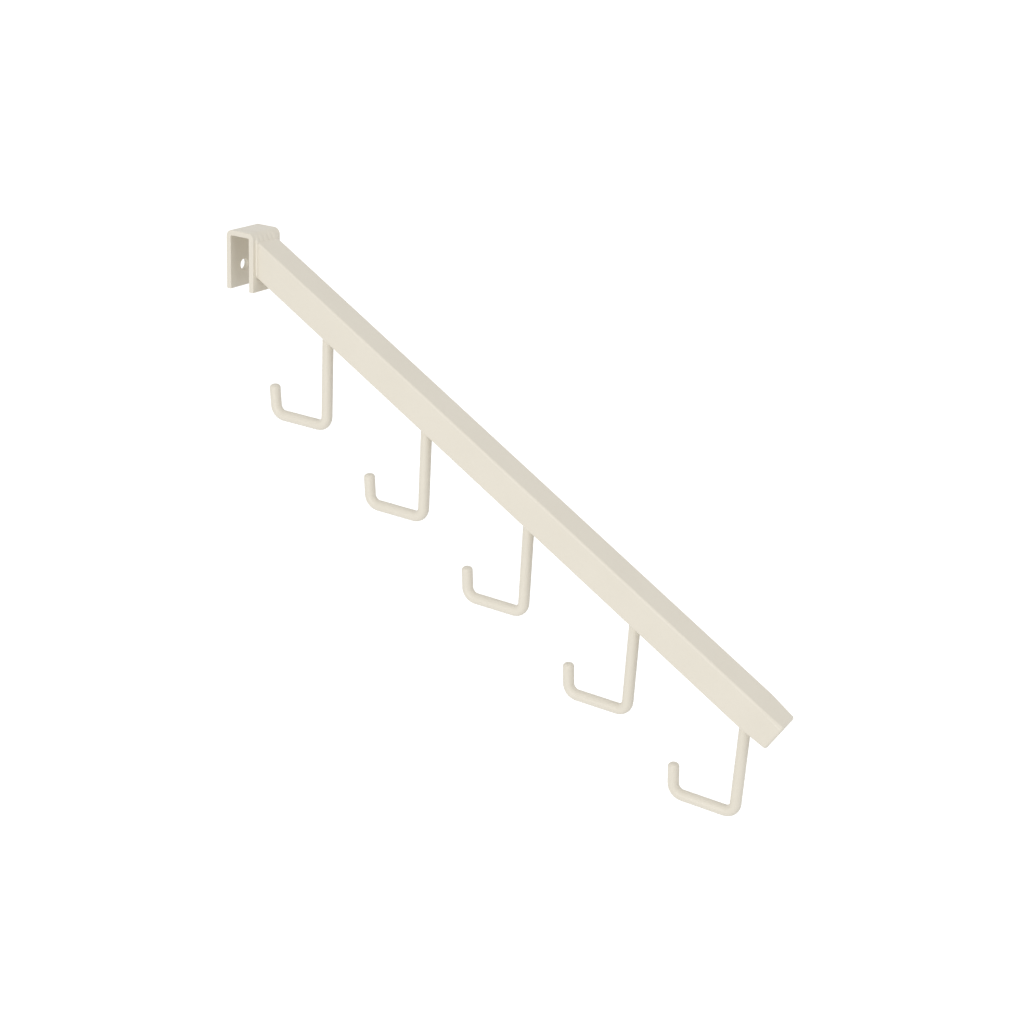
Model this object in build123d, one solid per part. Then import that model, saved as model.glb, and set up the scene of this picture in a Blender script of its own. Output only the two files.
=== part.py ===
from build123d import *
import math
import os

# Sloping display arm: a folded saddle for a hang rail, a square tube and a row of bent-rod hooks.
# Millimetres. The origin is the middle of the saddle's inner top face, where the rail bears.
# +X runs out from the rail along the arm, +Y along the rail and +Z up.

# Saddle
rail_thickness = 12.7
rail_clearance = 0.7
sheet_thickness = 3.2
saddle_length = 25.4
bend_inner_radius = 0.8
leg_below_arm = 8.6
sheet_edge_round = 0.5

# Locking screw's hole in the rear leg
screw_hole_diameter = 6.5
screw_hole_above_leg_end = 12.7
screw_hole_edge_round = 0.6

# Arm
tube_side = 19.0
tube_wall = 1.5
tube_corner_radius = 1.4
arm_slope = 30.0
arm_top_below_bend = 0.6
end_draw_in = 0.5
end_draw_length = 15.0
end_corner_radius = 2.2
cap_thickness = 2.2
cap_edge_round = 1.7

# Hooks
hook_count = 5
first_hook_distance = 52.5
hook_pitch = 81.8
end_margin = 23.0
rod_diameter = 6.6
hook_drop = 58.0
hook_reach = 37.6
tip_height = 18.6
tip_lean = 5.0
hook_bend_inner_radius = 3.0
tip_end_flat = 2.2

# Welds
arm_weld_side_leg = 1.2
arm_weld_top_leg = 2.4
arm_weld_reach = 1.7
arm_weld_root = 0.6
hook_bead_radius = 1.5

# Saddle, worked out
rail_gap = rail_thickness + rail_clearance
bend_outer_radius = bend_inner_radius + sheet_thickness
front_face_x = rail_gap / 2 + sheet_thickness
rear_face_x = -front_face_x

# Arm, worked out: its top edge meets the front leg just below the end of the outside bend
slope = math.radians(arm_slope)
along_arm = Vector(math.cos(slope), 0, -math.sin(slope))
above_arm = Vector(math.sin(slope), 0, math.cos(slope))
half_tube = tube_side / 2
half_tube_upright = half_tube / math.cos(slope)
arm_top_z = sheet_thickness - bend_outer_radius - arm_top_below_bend
arm_start = Vector(front_face_x, 0, arm_top_z - half_tube_upright)
arm_bottom_z = arm_start.Z - half_tube_upright
leg_end_z = arm_bottom_z - leg_below_arm
last_hook_distance = first_hook_distance + (hook_count - 1) * hook_pitch
arm_length = last_hook_distance + end_margin
tube_length = arm_length - cap_thickness
straight_length = tube_length - end_draw_length
mitre_run = tube_side * math.tan(slope)

# Hooks, worked out: where the first leg's centre line meets the arm's underside
rod_radius = rod_diameter / 2
hook_bend_radius = hook_bend_inner_radius + rod_radius
tip_end_round = rod_radius - tip_end_flat / 2
first_hook_axis = arm_start + along_arm * first_hook_distance
first_hook_seat = first_hook_axis - Vector(0, 0, half_tube_upright)


def hanging_face(width, depth, corner_radius):
    """Face that hangs from the X axis, with its two upper corners rounded."""
    face = Pos(0, -depth / 2) * Rectangle(width, depth)
    return fillet(face.vertices().group_by(Axis.Y)[-1], corner_radius)


def make_saddle():
    """Strip folded into an upside-down U, its edges eased, with the screw hole through the rear leg."""
    inner = hanging_face(rail_gap, -leg_end_z, bend_inner_radius)
    outer = hanging_face(rail_gap + 2 * sheet_thickness, sheet_thickness - leg_end_z, bend_outer_radius)
    profile = Pos(0, sheet_thickness) * outer - inner
    saddle = extrude(Plane.XZ * profile, saddle_length / 2, both=True)
    cut_faces = saddle.faces().filter_by(Axis.Y) + saddle.faces().group_by(Axis.Z)[0]
    saddle = fillet(cut_faces.edges(), sheet_edge_round)

    hole_centre = Vector(rear_face_x + sheet_thickness / 2, 0, leg_end_z + screw_hole_above_leg_end)
    saddle -= Pos(hole_centre) * Rot(0, 90, 0) * Cylinder(screw_hole_diameter / 2, 2 * sheet_thickness)
    rims = saddle.edges().filter_by(GeomType.CIRCLE).sort_by_distance(hole_centre)[:2]
    return fillet(rims, screw_hole_edge_round)


def arm_section(distance):
    """Plane across the arm at a distance down its centre line, local x sideways and local y upwards."""
    return Plane(origin=arm_start + along_arm * distance, x_dir=(0, 1, 0), z_dir=along_arm)


def tube_outline():
    """Outside section of the square tube."""
    return RectangleRounded(tube_side, tube_side, tube_corner_radius)


def tube_end_outline():
    """Outside section at the tube's lower end, drawn in a little and with rounder corners."""
    side = tube_side - 2 * end_draw_in
    return RectangleRounded(side, side, end_corner_radius)


def bore_outline():
    """Inside section of the square tube."""
    side = tube_side - 2 * tube_wall
    return Rectangle(side, side)


def bore_end_outline():
    """Inside section at the tube's lower end, drawn in as the outside is."""
    side = tube_side - 2 * tube_wall - 2 * end_draw_in
    return Rectangle(side, side)


def make_bar(outline, end_outline):
    """Bar along the arm: straight from behind the mitre, then drawn in towards the lower end."""
    straight = extrude(arm_section(-mitre_run) * outline, mitre_run + straight_length)
    drawn = loft(
        [arm_section(straight_length) * outline, arm_section(tube_length) * end_outline],
        ruled=True,
    )
    return straight + drawn


def make_arm_block():
    """The arm's outside as a solid bar, mitred flush with the saddle's front face."""
    front_face = Plane(origin=(front_face_x, 0, 0), z_dir=(1, 0, 0))
    bar = make_bar(tube_outline(), tube_end_outline())
    return split(bar, bisect_by=front_face, keep=Keep.TOP)


def make_tube(arm_block):
    """The arm's bar, bored square to leave the tube's wall."""
    return arm_block - make_bar(bore_outline(), bore_end_outline())


def make_end_cap():
    """Plate on the tube's lower end, with its outer edges rounded."""
    cap = extrude(arm_section(tube_length) * tube_end_outline(), cap_thickness)
    outer_face = cap.faces().sort_by(Axis(arm_start, along_arm))[-1]
    return fillet(outer_face.edges(), cap_edge_round)


def make_rod(axis_point, seat):
    """Bent rod of one hook, from inside the arm down, back and up to its leaning tip."""
    lean = math.radians(tip_lean)
    foot_front = seat - Vector(0, 0, hook_drop)
    foot_back = foot_front - Vector(hook_reach, 0, 0)
    tip_end = foot_back + Vector(-math.sin(lean), 0, math.cos(lean)) * tip_height
    path = FilletPolyline(axis_point, foot_front, foot_back, tip_end, radius=hook_bend_radius)
    rod = sweep(Plane(origin=axis_point, z_dir=(0, 0, -1)) * Circle(rod_radius), path=path)
    tip_face = rod.faces().filter_by(GeomType.PLANE).sort_by_distance(tip_end)[0]
    return fillet(tip_face.edges(), tip_end_round)


def underside(seat):
    """Plane of the arm's underside at a hook's seat, local x down the arm and local z out of the arm."""
    return Plane(origin=seat, x_dir=along_arm, z_dir=-above_arm)


def make_hook(rod, seat):
    """The rod, its leg cut to sit flat on the arm's underside."""
    return split(rod, bisect_by=underside(seat), keep=Keep.TOP)


def make_hook_weld(rod, seat):
    """Round bead where a hook's leg meets the arm's underside."""
    foot_of_leg = Ellipse(rod_radius / math.cos(slope), rod_radius)
    path = (underside(seat) * foot_of_leg).edge()
    start = Plane(origin=path @ 0, z_dir=path % 0)
    bead = sweep(start * Circle(hook_bead_radius), path=path)
    return split(bead, bisect_by=underside(seat), keep=Keep.TOP) - rod


def leg_outline(out_from_leg, past_sides, past_top, corner_radius):
    """Rounded outline parallel to the front leg, from the mitre's bottom edge up past its sides and top."""
    height = arm_top_z + past_top - arm_bottom_z
    middle = (front_face_x + out_from_leg, 0, arm_bottom_z + height / 2)
    plane = Plane(origin=middle, x_dir=(0, 1, 0), z_dir=(1, 0, 0))
    return plane * RectangleRounded(tube_side + 2 * past_sides, height, corner_radius)


def make_arm_weld(saddle, arm_block):
    """Flat fillet over the arm's top edge and down both sides, run out at the mitre's bottom corners."""
    side_fall = arm_weld_side_leg / (arm_weld_side_leg + arm_weld_root)
    past_sides = (arm_weld_side_leg - arm_weld_reach) * side_fall
    past_top = -arm_weld_reach * math.tan(slope)
    root_corner = tube_corner_radius + arm_weld_side_leg
    root = leg_outline(-arm_weld_root, arm_weld_side_leg, arm_weld_top_leg, root_corner)
    toe = leg_outline(arm_weld_reach, past_sides, past_top, tube_corner_radius / 2)
    return loft([root, toe], ruled=True) - saddle - arm_block


def save(shape, node):
    """Writes one node's solid."""
    export_step(shape, f"parts/{node}.step")


os.makedirs("parts", exist_ok=True)

saddle_bracket = make_saddle()
arm_bar = make_arm_block()
save(saddle_bracket, "saddle_bracket")
save(make_tube(arm_bar), "arm_tube")
save(make_end_cap(), "end_cap")
save(make_arm_weld(saddle_bracket, arm_bar), "arm_weld")

first_rod = make_rod(first_hook_axis, first_hook_seat)
first_hook = make_hook(first_rod, first_hook_seat)
first_hook_weld = make_hook_weld(first_rod, first_hook_seat)
for index in range(hook_count):
    place = Pos(along_arm * (index * hook_pitch))
    save(place * first_hook, f"hook_{index + 1}")
    save(place * first_hook_weld, f"hook_weld_{index + 1}")
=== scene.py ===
"""Looks of the sloping display arm: cream powder coat, rippled weld beads and a white studio."""
import logging
import math
from abc import ABC, abstractmethod
from dataclasses import dataclass, field
from enum import Enum
from random import Random
from typing import Union

import bmesh
import bpy
from mathutils import Matrix, Vector


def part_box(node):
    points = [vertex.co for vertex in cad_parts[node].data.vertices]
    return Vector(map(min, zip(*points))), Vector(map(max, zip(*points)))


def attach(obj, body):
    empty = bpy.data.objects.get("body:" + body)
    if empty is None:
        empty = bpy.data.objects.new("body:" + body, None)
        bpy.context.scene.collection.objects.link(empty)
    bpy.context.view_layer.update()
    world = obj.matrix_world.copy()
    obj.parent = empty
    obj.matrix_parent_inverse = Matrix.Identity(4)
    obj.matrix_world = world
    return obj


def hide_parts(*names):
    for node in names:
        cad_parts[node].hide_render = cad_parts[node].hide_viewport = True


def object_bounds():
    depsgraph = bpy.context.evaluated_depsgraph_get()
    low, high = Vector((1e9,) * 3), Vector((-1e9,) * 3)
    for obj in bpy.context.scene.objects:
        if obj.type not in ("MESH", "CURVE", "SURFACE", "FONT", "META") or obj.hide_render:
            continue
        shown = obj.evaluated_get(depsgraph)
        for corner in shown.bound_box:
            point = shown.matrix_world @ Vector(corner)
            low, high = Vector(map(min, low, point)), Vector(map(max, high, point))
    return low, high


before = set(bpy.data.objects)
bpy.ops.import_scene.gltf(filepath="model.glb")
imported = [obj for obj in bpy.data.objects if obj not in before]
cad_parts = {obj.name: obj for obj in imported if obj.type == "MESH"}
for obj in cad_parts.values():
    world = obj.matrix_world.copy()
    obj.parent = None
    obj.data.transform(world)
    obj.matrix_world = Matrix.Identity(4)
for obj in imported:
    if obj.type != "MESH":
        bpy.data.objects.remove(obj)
cad_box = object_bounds()

log = logging.getLogger("display_arm")

BODY = "root"
WHITE = (1.0, 1.0, 1.0, 1.0)
NOISE_MEAN = 0.5
SMOOTHING_LEVEL = 1
TOLERANCE = 1e-6

# Metres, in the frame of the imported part: +X out from the rail, +Y along it, +Z up.
ARM_SLOPE = math.radians(30.0)
ALONG_ARM = Vector((math.cos(ARM_SLOPE), 0.0, -math.sin(ARM_SLOPE)))
OUT_FROM_RAIL = Vector((1.0, 0.0, 0.0))
ALONG_RAIL = Vector((0.0, 1.0, 0.0))
UP = Vector((0.0, 0.0, 1.0))

Operand = Union[float, "Field"]
Colour = tuple[float, float, float]
Place = tuple[float, float, float]


class Operation(Enum):
    """Sums that a shader does on two numbers."""

    ADD = "ADD"
    SUBTRACT = "SUBTRACT"
    MULTIPLY = "MULTIPLY"
    MAXIMUM = "MAXIMUM"


class Field:
    """A number that varies over a surface, for use in plain Python expressions."""

    def __init__(self, tree: "ShaderTree", socket: bpy.types.NodeSocket) -> None:
        """Wraps one output socket of a shader tree."""
        self.tree = tree
        self.socket = socket

    def _sum(self, operation: Operation, other: Operand) -> "Field":
        """Adds the Math node for one operation.

        Args:
            operation: what is done with the two numbers.
            other: the right-hand number or field; this field is the left-hand one.

        Returns:
            The result, ready for the next operation.
        """
        inputs = {"Value": self, "Value_001": other}
        node = self.tree.node("ShaderNodeMath", {"operation": operation.value}, inputs)
        return Field(self.tree, node.outputs["Value"])

    def __add__(self, other: Operand) -> "Field":
        """This field plus another."""
        return self._sum(Operation.ADD, other)

    def __sub__(self, other: Operand) -> "Field":
        """This field less another."""
        return self._sum(Operation.SUBTRACT, other)

    def __mul__(self, other: Operand) -> "Field":
        """This field times another."""
        return self._sum(Operation.MULTIPLY, other)

    def at_least(self, other: Operand) -> "Field":
        """The larger of this field and another."""
        return self._sum(Operation.MAXIMUM, other)


@dataclass(frozen=True)
class Clouds:
    """A cloudy pattern: the size of one cloud in metres, its count of finer layers and their strength."""

    grain: float
    layers: float
    layer_strength: float


class ShaderTree:
    """The node tree of one material or world, built node by node."""

    def __init__(self, owner: Union[bpy.types.Material, bpy.types.World]) -> None:
        """Empties the owner's tree.

        Args:
            owner: the material or world that the tree belongs to.
        """
        owner.use_nodes = True
        self.nodes = owner.node_tree.nodes
        self.links = owner.node_tree.links
        self.nodes.clear()

    def node(
        self,
        kind: str,
        settings: dict | None = None,
        inputs: dict | None = None,
    ) -> bpy.types.Node:
        """Adds a node.

        Args:
            kind: the node's type.
            settings: its own properties, which are set first.
            inputs: a value, a field or a socket for each input, by identifier.

        Returns:
            The new node.
        """
        node = self.nodes.new(kind)
        for name, value in (settings or {}).items():
            setattr(node, name, value)
        sockets = {socket.identifier: socket for socket in node.inputs}
        for name, value in (inputs or {}).items():
            source = value.socket if isinstance(value, Field) else value
            if isinstance(source, bpy.types.NodeSocket):
                self.links.new(source, sockets[name])
            else:
                sockets[name].default_value = source
        return node

    def noise(self, place: bpy.types.NodeSocket, clouds: Clouds) -> Field:
        """Cloudy pattern in the object's own space.

        Args:
            place: the coordinates that it reads.
            clouds: the pattern's sizes.

        Returns:
            The pattern, about NOISE_MEAN on average.
        """
        noise = self.node("ShaderNodeTexNoise", inputs={
            "Vector": place,
            "Scale": 1.0 / clouds.grain,
            "Detail": clouds.layers,
            "Roughness": clouds.layer_strength,
        })
        return Field(self, noise.outputs["Fac"])

    def blend(self, share: Operand, first: Colour, second: Colour) -> bpy.types.NodeSocket:
        """Mixes two colours.

        Args:
            share: how much of the second colour there is, from 0 to 1.
            first: the first colour.
            second: the second colour.

        Returns:
            The socket that holds the mix.
        """
        inputs = {"Factor_Float": share, "A_Color": (*first, 1.0), "B_Color": (*second, 1.0)}
        mix = self.node("ShaderNodeMix", {"data_type": "RGBA"}, inputs)
        return next(socket for socket in mix.outputs if socket.identifier == "Result_Color")

    def seen(self) -> Field:
        """Tells a look at the surface from light that only bounces off it.

        Returns:
            1 where the camera, a reflection or a clear piece sees the surface, and 0 for other light.
        """
        rays = self.node("ShaderNodeLightPath").outputs
        kinds = ("Camera", "Glossy", "Transmission")
        camera, glossy, clear = (Field(self, rays[f"Is {kind} Ray"]) for kind in kinds)
        return camera.at_least(glossy).at_least(clear)


@dataclass(frozen=True)
class PowderCoat:
    """Baked cream paint: soft gloss, a fine orange peel and a tone that drifts with its thickness."""

    name: str = "cream_coat"
    tone: Colour = (0.802, 0.752, 0.648)
    thin_tone: Colour = (0.777, 0.728, 0.624)
    thin_share: float = 0.5
    roughness: float = 0.40
    roughness_spread: float = 0.10
    gloss_level: float = 0.40
    peel: Clouds = Clouds(0.0012, 2.0, 0.45)
    peel_height: float = 0.000030
    peel_contrast: float = 0.6
    flow: Clouds = Clouds(0.0065, 1.0, 0.50)
    flow_share: float = 0.35
    drift: Clouds = Clouds(0.030, 3.0, 0.55)
    drift_contrast: float = 1.5

    def material(self) -> bpy.types.Material:
        """Builds the finish.

        Returns:
            The material, which reads only the piece's own coordinates.
        """
        material = bpy.data.materials.new(self.name)
        tree = ShaderTree(material)
        place = tree.node("ShaderNodeTexCoord").outputs["Object"]
        peel = tree.noise(place, self.peel)
        flow = tree.noise(place, self.flow)
        drift = tree.noise(place, self.drift)
        bump = tree.node("ShaderNodeBump", inputs={
            "Strength": 1.0,
            "Distance": self.peel_height,
            "Height": peel * (1.0 - self.flow_share) + flow * self.flow_share,
        })
        drift_tint = (drift - NOISE_MEAN) * self.drift_contrast
        peel_tint = (peel - NOISE_MEAN) * self.peel_contrast
        share = drift_tint + peel_tint + self.thin_share
        roughness = (flow - NOISE_MEAN) * self.roughness_spread + self.roughness
        paint = tree.node("ShaderNodeBsdfPrincipled", inputs={
            "Base Color": tree.blend(share, self.tone, self.thin_tone),
            "Roughness": roughness,
            "Specular IOR Level": self.gloss_level,
            "Normal": bump.outputs["Normal"],
        })
        tree.node("ShaderNodeOutputMaterial", inputs={"Surface": paint.outputs["BSDF"]})
        return material


def paint_node(name: str, coat: bpy.types.Material) -> None:
    """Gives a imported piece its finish.

    Args:
        name: the piece's node.
        coat: the finish.
    """
    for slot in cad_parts[name].material_slots:
        slot.material = coat
    log.info("painted %s", name)


@dataclass(frozen=True)
class Station:
    """A place on a seam, with the weld's two toes as steps from it."""

    point: Vector
    run: Vector
    first_toe: Vector
    second_toe: Vector

    def axes(self) -> Matrix:
        """Axes of the weld's section.

        Returns:
            The matrix that carries x to the middle of the weld's face, y to its first toe and z along
            the seam.
        """
        middle = (self.first_toe + self.second_toe) / 2
        half = (self.first_toe - self.second_toe) / 2
        axes = Matrix((middle, half, self.run * half.length)).transposed()
        return Matrix.Translation(self.point) @ axes.to_4x4()


class Seam(ABC):
    """The line that a weld follows."""

    closed: bool = False

    @property
    @abstractmethod
    def length(self) -> float:
        """Length of the line, in metres."""

    @abstractmethod
    def station(self, distance: float) -> Station:
        """A place on the line.

        Args:
            distance: how far along the line it is.

        Returns:
            The place.
        """

    def liveliness(self, distance: float) -> float:
        """Share of the full ripple that the weld has at a place.

        Args:
            distance: how far along the line it is.

        Returns:
            A share from 0 to 1.
        """
        return 1.0


@dataclass
class ArmSeam(Seam):
    """Up one side of the arm's mitre, over its top edge and down the far side, on the front leg."""

    face_x: float
    half_width: float
    top_z: float
    start_z: float
    turn_radius: float = 0.0014
    side_rise: float = 0.0011
    side_reach: float = 0.0016
    top_rise: float = 0.0042
    top_reach: float = 0.0016
    bend_setback: float = 0.0012
    side_liveliness: float = 0.30

    @property
    def climb(self) -> float:
        """Height of the straight run up one side."""
        return self.top_z - self.turn_radius - self.start_z

    @property
    def turn(self) -> float:
        """Length of one rounded corner."""
        return self.turn_radius * math.pi / 2

    @property
    def length(self) -> float:
        """Length of the line, in metres."""
        return 2 * (self.climb + self.turn + self.half_width - self.turn_radius)

    def turned(self, distance: float) -> float:
        """Angle that the line has turned through from upright, up to level along the top."""
        along = min(distance, self.length - distance)
        return min(max((along - self.climb) / self.turn_radius, 0.0), math.pi / 2)

    def top_share(self, distance: float) -> float:
        """How far the weld's shape has gone from the sides' one, at 0, to the top's one, at 1."""
        return math.sin(self.turned(distance)) ** 2

    def liveliness(self, distance: float) -> float:
        """Share of the full ripple, which the sides have less of than the top."""
        return self.side_liveliness + (1.0 - self.side_liveliness) * self.top_share(distance)

    def station(self, distance: float) -> Station:
        """A place on the line; the far side mirrors the near one.

        Args:
            distance: how far along the line it is.

        Returns:
            The place.
        """
        far = distance > self.length / 2
        along = self.length - distance if far else distance
        level = self.half_width - self.turn_radius
        angle = self.turned(distance)
        outward = UP * math.sin(angle) - ALONG_RAIL * math.cos(angle)
        run = UP * math.cos(angle) + ALONG_RAIL * math.sin(angle)
        corner = Vector((self.face_x, -level, self.top_z - self.turn_radius))
        past_turn = max(along - self.climb - self.turn, 0.0)
        short_of_turn = max(self.climb - along, 0.0)
        point = corner + outward * self.turn_radius + ALONG_RAIL * past_turn - UP * short_of_turn
        top_share = self.top_share(distance)
        rise = self.side_rise + (self.top_rise - self.side_rise) * top_share
        reach = self.side_reach + (self.top_reach - self.side_reach) * top_share
        on_leg = outward * rise - OUT_FROM_RAIL * self.bend_setback * top_share
        on_tube = OUT_FROM_RAIL * reach - outward * reach * math.tan(ARM_SLOPE) * top_share
        if far:
            for vector in (point, on_leg, on_tube):
                vector.y = -vector.y
            run.z = -run.z
        return Station(point, run, on_leg, on_tube)


@dataclass
class HookSeam(Seam):
    """Once round the top of a hook's leg, on the arm's underside."""

    seat: Vector
    rod_radius: float
    leg: float
    closed: bool = True

    @property
    def long_radius(self) -> float:
        """Half the length of the leg's slanted end."""
        return self.rod_radius / math.cos(ARM_SLOPE)

    @property
    def length(self) -> float:
        """Length of the line, by the mean of its two radii."""
        return math.pi * (self.long_radius + self.rod_radius)

    def station(self, distance: float) -> Station:
        """A place on the line, which starts on the side of the arm's low end.

        Args:
            distance: how far along the line it is.

        Returns:
            The place.
        """
        angle = 2 * math.pi * distance / self.length
        cosine, sine = math.cos(angle), math.sin(angle)
        down_arm, sideways = ALONG_ARM * cosine, ALONG_RAIL * sine
        point = self.seat + down_arm * self.long_radius + sideways * self.rod_radius
        run = ALONG_RAIL * self.rod_radius * cosine - ALONG_ARM * self.long_radius * sine
        outward = (down_arm * self.rod_radius + sideways * self.long_radius).normalized()
        return Station(point, run.normalized(), -UP * self.leg, outward * self.leg)


@dataclass
class WeldBead:
    """A weld laid as a row of overlapping pools, each a little ahead of the last."""

    name: str
    node: str
    seam: Seam
    bulge: float
    pitch: float
    seed: int
    ripple: float = 0.22
    unevenness: float = 0.20
    crescent: float = 0.8
    overlap: float = 0.12
    tuck: float = 0.45
    tuck_power: int = 8
    root_depth: float = 0.25
    run_out: float = 0.0022
    end_floor: float = 0.02
    sides: int = 20
    steps: int = 6

    def _pools(self) -> list[tuple[float, float]]:
        """Places the rings of the bead.

        Returns:
            The distance of each ring along the seam and its share of the full size, in order.
        """
        draw = Random(self.seed)
        count = round(self.seam.length / self.pitch)
        lengths = [1.0 + draw.uniform(-self.unevenness, self.unevenness) for _ in range(count)]
        stretch = self.seam.length / sum(lengths)
        rings, start = [], 0.0
        for length in lengths:
            size = 1.0 - draw.uniform(0.0, self.unevenness) / 2
            for step in range(self.steps):
                phase = step / self.steps
                distance = start + length * stretch * phase
                ripple = self.ripple * self.seam.liveliness(distance)
                rings.append((distance, size * (1.0 - ripple * (2 * phase - 1) ** 2)))
            start += length * stretch
        if not self.seam.closed:
            rings = [(distance, size * self._taper(distance)) for distance, size in rings]
        return rings

    def _taper(self, distance: float) -> float:
        """Share of the full size near the ends, where the weld runs out.

        Args:
            distance: how far along the seam the ring is.

        Returns:
            A share from just above 0 to 1.
        """
        nearest = min(distance, self.seam.length - distance) / self.run_out
        square_of_share = 1.0 - (1.0 - min(nearest, 1.0)) ** 2
        return math.sqrt(max(square_of_share, self.end_floor))

    def _first_ring(self, mesh: bmesh.types.BMesh) -> list[bmesh.types.BMEdge]:
        """Makes the weld's section.

        Its face bulges between toes that tuck in, its flanks trail and its root lies behind.

        Args:
            mesh: the mesh it goes into.

        Returns:
            The ring's edges.
        """
        verts = bmesh.ops.create_circle(mesh, radius=1.0, segments=self.sides)["verts"]
        for vert in verts:
            across = vert.co.y
            vert.co.y = across * (1.0 + self.overlap)
            vert.co.z = -self.crescent * across ** 2
            if vert.co.x > -TOLERANCE:
                bulge = self.bulge * (1.0 - vert.co.y ** 2)
                vert.co.x = 1.0 + bulge - self.tuck * vert.co.y ** self.tuck_power
            else:
                vert.co.x *= self.root_depth
        return list(dict.fromkeys(edge for vert in verts for edge in vert.link_edges))

    def build(self, coat: bpy.types.Material) -> bpy.types.Object:
        """Extrudes the section along the seam and dresses the bead.

        Args:
            coat: the finish.

        Returns:
            The finished piece.
        """
        mesh = bmesh.new()
        edges = self._first_ring(mesh)
        first_edges, last_place = edges, Matrix.Identity(4)
        for index, (distance, size) in enumerate(self._pools()):
            if index:
                ring = bmesh.ops.extrude_edge_only(mesh, edges=edges)["geom"]
                edges = [item for item in ring if isinstance(item, bmesh.types.BMEdge)]
                edges = [edge for edge in edges if all(vert in ring for vert in edge.verts)]
            verts = list(dict.fromkeys(vert for edge in edges for vert in edge.verts))
            place = self.seam.station(distance).axes() @ Matrix.Scale(size, 4)
            bmesh.ops.transform(mesh, matrix=place @ last_place.inverted(), verts=verts)
            last_place = place
        if self.seam.closed:
            bmesh.ops.bridge_loops(mesh, edges=edges + first_edges)
        else:
            bmesh.ops.holes_fill(mesh, edges=edges + first_edges, sides=0)
        bmesh.ops.recalc_face_normals(mesh, faces=mesh.faces)
        return finished_piece(self.name, mesh, coat, replaced=self.node)


def finished_piece(
    name: str,
    mesh: bmesh.types.BMesh,
    coat: bpy.types.Material,
    replaced: str,
) -> bpy.types.Object:
    """Turns a mesh into a smooth piece that rides on the part.

    Args:
        name: the piece's name.
        mesh: its shape, in the part's frame; it is freed.
        coat: its finish.
        replaced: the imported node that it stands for.

    Returns:
        The piece.
    """
    data = bpy.data.meshes.new(name)
    mesh.to_mesh(data)
    mesh.free()
    data.shade_smooth()
    data.materials.append(coat)
    piece = bpy.data.objects.new(name, data)
    bpy.context.scene.collection.objects.link(piece)
    smoothing = piece.modifiers.new("smoothing", "SUBSURF")
    smoothing.levels = SMOOTHING_LEVEL
    smoothing.render_levels = SMOOTHING_LEVEL
    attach(piece, BODY)
    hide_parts(replaced)
    log.info("built %s, which stands for %s", name, replaced)
    return piece


@dataclass
class Saddle:
    """The folded strip that drops over the rail."""

    node: str = "saddle_bracket"

    @property
    def front_x(self) -> float:
        """Where the front leg's outer face is."""
        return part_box(self.node)[1].x

    def dress(self, coat: bpy.types.Material) -> None:
        """Paints the strip."""
        paint_node(self.node, coat)


@dataclass
class Arm:
    """The square tube with its end plate, and the weld that holds it to the saddle."""

    tube: str = "arm_tube"
    cap: str = "end_cap"
    weld: str = "arm_weld"
    weld_pitch: float = 0.0040
    weld_bulge: float = 0.20
    weld_ripple: float = 0.36
    weld_crescent: float = 0.10
    weld_start: float = 0.0003
    weld_seed: int = 18

    @property
    def half_width(self) -> float:
        """Half the tube's side."""
        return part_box(self.tube)[1].y

    @property
    def top_z(self) -> float:
        """Height of the mitre's top edge."""
        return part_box(self.tube)[1].z

    @property
    def bottom_z(self) -> float:
        """Height of the mitre's bottom edge."""
        return self.top_z - 2 * self.half_width / math.cos(ARM_SLOPE)

    def dress(self, coat: bpy.types.Material) -> None:
        """Paints the tube and its end plate."""
        paint_node(self.tube, coat)
        paint_node(self.cap, coat)

    def build_weld(self, saddle: Saddle, coat: bpy.types.Material) -> bpy.types.Object:
        """Lays the rippled bead between the tube and the saddle.

        Args:
            saddle: what the arm is welded to.
            coat: the finish.

        Returns:
            The bead.
        """
        seam = ArmSeam(
            face_x=saddle.front_x,
            half_width=self.half_width,
            top_z=self.top_z,
            start_z=self.bottom_z + self.weld_start,
        )
        bead = WeldBead(
            "arm_weld_bead",
            self.weld,
            seam,
            self.weld_bulge,
            self.weld_pitch,
            self.weld_seed,
            ripple=self.weld_ripple,
            crescent=self.weld_crescent,
        )
        return bead.build(coat)


@dataclass
class HookRow:
    """The bent-rod hooks under the arm, each with a bead round the top of its leg."""

    count: int = 5
    weld_leg: float = 0.0015
    weld_pitch: float = 0.0016
    weld_bulge: float = 0.40
    weld_sides: int = 16
    weld_seed: int = 20

    @property
    def numbers(self) -> range:
        """Numbers of the hooks, from the saddle down."""
        return range(1, self.count + 1)

    def dress(self, coat: bpy.types.Material) -> None:
        """Paints every hook."""
        for number in self.numbers:
            paint_node(f"hook_{number}", coat)

    def build_welds(
        self,
        arm: Arm,
        saddle: Saddle,
        coat: bpy.types.Material,
    ) -> list[bpy.types.Object]:
        """Lays the bead of every hook.

        Args:
            arm: what the hooks hang from.
            saddle: what the arm starts at.
            coat: the finish.

        Returns:
            The beads, from the saddle down.
        """
        beads = []
        for number in self.numbers:
            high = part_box(f"hook_{number}")[1]
            rod_radius = high.y
            leg_x = high.x - rod_radius
            seat_z = arm.bottom_z - (leg_x - saddle.front_x) * math.tan(ARM_SLOPE)
            seam = HookSeam(Vector((leg_x, 0.0, seat_z)), rod_radius, self.weld_leg)
            bead = WeldBead(
                f"hook_weld_bead_{number}",
                f"hook_weld_{number}",
                seam,
                self.weld_bulge,
                self.weld_pitch,
                self.weld_seed + number,
                sides=self.weld_sides,
            )
            beads.append(bead.build(coat))
        return beads


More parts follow.
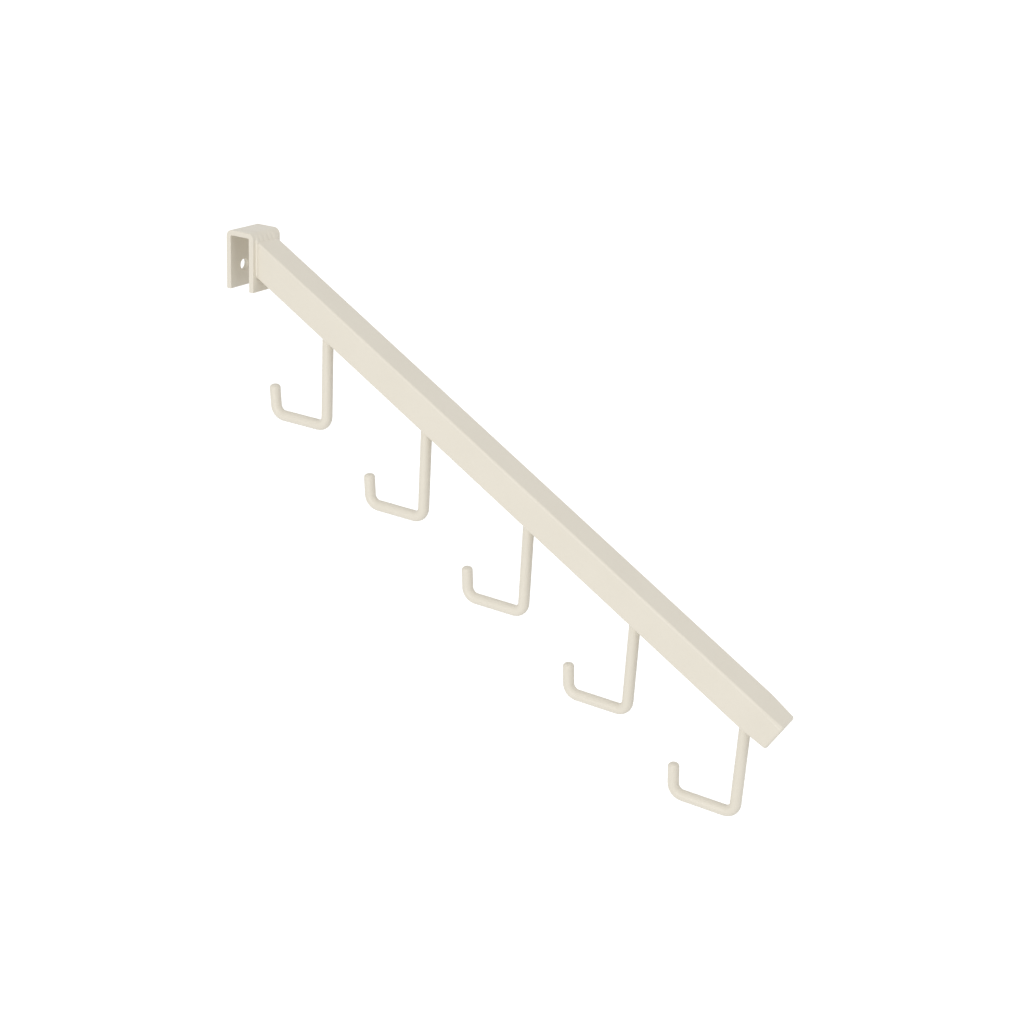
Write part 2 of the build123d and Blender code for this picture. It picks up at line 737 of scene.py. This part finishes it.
@dataclass(frozen=True)
class Lamp:
    """A square soft box that faces the arm, with white light."""

    name: str
    place: Place
    watts: float
    side: float = 1.0
    aim: Place = (0.18, 0.0, -0.13)

    def hang(self) -> bpy.types.Object:
        """Puts the lamp in its place.

        Returns:
            The lamp.
        """
        data = bpy.data.lights.new(self.name, "AREA")
        data.shape = "SQUARE"
        data.size = self.side
        data.energy = self.watts
        lamp = bpy.data.objects.new(self.name, data)
        bpy.context.scene.collection.objects.link(lamp)
        lamp.location = self.place
        facing = Vector(self.aim) - Vector(self.place)
        lamp.rotation_euler = facing.to_track_quat("-Z", "Y").to_euler()
        return lamp


@dataclass
class Studio:
    """White room: a floor well below the arm, even light all round and two soft boxes."""

    middle: Vector = field(default_factory=lambda: (cad_box[0] + cad_box[1]) / 2)
    floor_drop: float = 0.9
    floor_side: float = 80.0
    floor_tone: Colour = (0.82, 0.82, 0.82)
    floor_lift: float = 0.65
    room_light: float = 0.67
    lamps: tuple[Lamp, ...] = (
        Lamp("front_box", (0.18, -1.39, 0.01), 7.7),
        Lamp("high_right_box", (1.17, 0.0, 0.86), 3.3),
    )

    def lay_floor(self) -> bpy.types.Object:
        """Lays a plain white floor that still takes the arm's shadow.

        Returns:
            The floor.
        """
        mesh = bmesh.new()
        bmesh.ops.create_grid(mesh, x_segments=1, y_segments=1, size=self.floor_side / 2)
        bmesh.ops.translate(mesh, vec=self.middle - UP * self.floor_drop, verts=mesh.verts)
        data = bpy.data.meshes.new("studio_floor")
        mesh.to_mesh(data)
        mesh.free()
        data.materials.append(self._floor_paint())
        floor = bpy.data.objects.new("studio_floor", data)
        bpy.context.scene.collection.objects.link(floor)
        return floor

    def _floor_paint(self) -> bpy.types.Material:
        """White floor paint, lifted to the white of the room only where it is seen.

        Returns:
            The material.
        """
        material = bpy.data.materials.new("floor_paint")
        tree = ShaderTree(material)
        plain = tree.node("ShaderNodeBsdfDiffuse", inputs={"Color": (*self.floor_tone, 1.0)})
        glow = tree.node("ShaderNodeEmission", inputs={"Strength": self.floor_lift})
        lifted = tree.node("ShaderNodeAddShader", inputs={
            "Shader": plain.outputs["BSDF"],
            "Shader_001": glow.outputs["Emission"],
        })
        mix = tree.node("ShaderNodeMixShader", inputs={
            "Fac": tree.seen(),
            "Shader": plain.outputs["BSDF"],
            "Shader_001": lifted.outputs["Shader"],
        })
        tree.node("ShaderNodeOutputMaterial", inputs={"Surface": mix.outputs["Shader"]})
        return material

    def light_room(self) -> bpy.types.World:
        """Fills the room with even light, and makes it plain white where it is seen.

        Returns:
            The world.
        """
        world = bpy.data.worlds.new("white_room")
        bpy.context.scene.world = world
        tree = ShaderTree(world)
        even = tree.node("ShaderNodeBackground", inputs={"Strength": self.room_light, "Color": WHITE})
        white = tree.node("ShaderNodeBackground", inputs={"Strength": 1.0, "Color": WHITE})
        mix = tree.node("ShaderNodeMixShader", inputs={
            "Fac": tree.seen(),
            "Shader": even.outputs["Background"],
            "Shader_001": white.outputs["Background"],
        })
        tree.node("ShaderNodeOutputWorld", inputs={"Surface": mix.outputs["Shader"]})
        return world

    def set_up(self) -> None:
        """Lays the floor and lights the room."""
        self.lay_floor()
        self.light_room()
        for lamp in self.lamps:
            lamp.hang()
        bpy.context.scene.view_settings.view_transform = "Standard"
        log.info("set up the studio with %d lamps", len(self.lamps))


@dataclass(frozen=True)
class ViewCamera:
    """Camera at the picture's viewing angle: metres, degrees, and millimetres for lens and sensor."""

    place: Place = (0.60133, -0.73562, 0.21164)
    nearest: float = 0.01
    azimuth: float = 29.469
    elevation: float = 21.983
    roll: float = 3.436
    focal_length: float = 56.640
    sensor_width: float = 36.0

    def set_up(self) -> bpy.types.Object:
        """Places the camera and makes it the scene's own.

        Returns:
            The camera.
        """
        data = bpy.data.cameras.new("view_camera")
        data.lens = self.focal_length
        data.sensor_width = self.sensor_width
        data.clip_start = self.nearest
        camera = bpy.data.objects.new("view_camera", data)
        bpy.context.scene.collection.objects.link(camera)
        turn = Matrix.Rotation(math.radians(self.azimuth), 4, "Z")
        tilt = Matrix.Rotation(math.radians(90.0 - self.elevation), 4, "X")
        roll = Matrix.Rotation(math.radians(self.roll), 4, "Z")
        camera.matrix_world = Matrix.Translation(self.place) @ turn @ tilt @ roll
        bpy.context.scene.camera = camera
        log.info("placed the camera")
        return camera


def main() -> None:
    """Dresses the arm and sets up the studio round it."""
    logging.basicConfig(level=logging.INFO, format="%(message)s")
    ViewCamera().set_up()
    Studio().set_up()
    coat = PowderCoat().material()
    saddle, arm, hooks = Saddle(), Arm(), HookRow()
    saddle.dress(coat)
    arm.dress(coat)
    arm.build_weld(saddle, coat)
    hooks.dress(coat)
    hooks.build_welds(arm, saddle, coat)


if __name__ == "__main__":
    main()
